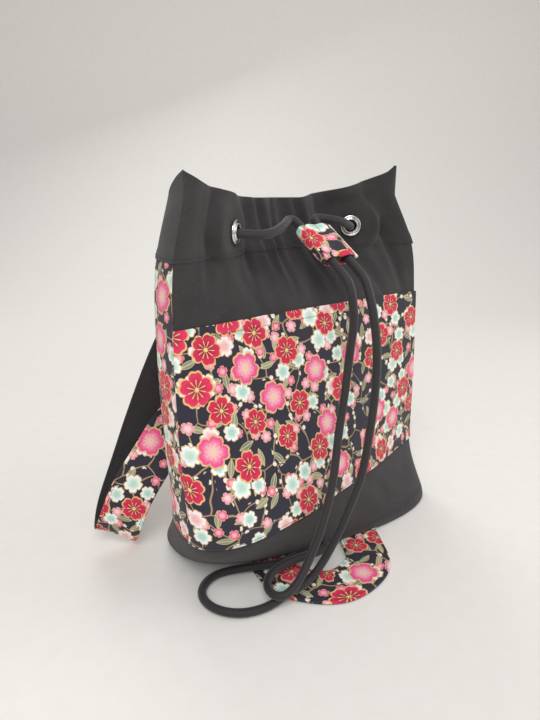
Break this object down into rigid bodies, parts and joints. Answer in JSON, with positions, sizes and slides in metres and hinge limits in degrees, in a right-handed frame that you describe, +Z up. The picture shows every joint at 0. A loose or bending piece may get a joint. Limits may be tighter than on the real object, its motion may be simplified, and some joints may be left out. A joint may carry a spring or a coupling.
{
  "type": "drawstring bucket backpack",
  "caption": "Soft bucket backpack of black twill and blossom print, closed by a cord through eyelets with a sliding cloth stopper, standing on its base.",
  "frame": {"origin": "on the underside of the base, where it rests on the table, near its middle", "axes": "+Z up, the front pocket faces -Y, +X to the right when seen from the front"},
  "size_m": [0.3832, 0.2814, 0.3894],
  "materials": {
    "base_twill": "matte",
    "band_twill": "matte",
    "black_twill": "matte",
    "rim_twill": "matte",
    "back_print": "matte",
    "pocket_print": "matte",
    "slider_print": "matte",
    "blossom_print": "matte",
    "black_braid": "matte",
    "polished_nickel": "polished"
  },
  "bodies": {
    "bag": {"base_panel": "base_twill", "bottom_band": "band_twill", "front_panel": "black_twill", "back_panel": "back_print", "front_pocket": "pocket_print", "rim_band": "rim_twill", "free_cord": "black_braid", "rim_cord": "black_braid", "left_strap": "blossom_print", "right_strap": "blossom_print", "eyelet_1": "polished_nickel", "eyelet_washer_1": "polished_nickel", "eyelet_2": "polished_nickel", "eyelet_washer_2": "polished_nickel", "eyelet_3": "polished_nickel", "eyelet_washer_3": "polished_nickel", "eyelet_4": "polished_nickel", "eyelet_washer_4": "polished_nickel"},
    "slider": {"cord_slider": "slider_print"}
  },
  "joints": [
    {"name": "slider_slide", "type": "slide", "parent": "bag", "child": "slider", "axis": [0.0228, -0.8212, -0.5702], "range_m": [0, 0.012]}
  ]
}
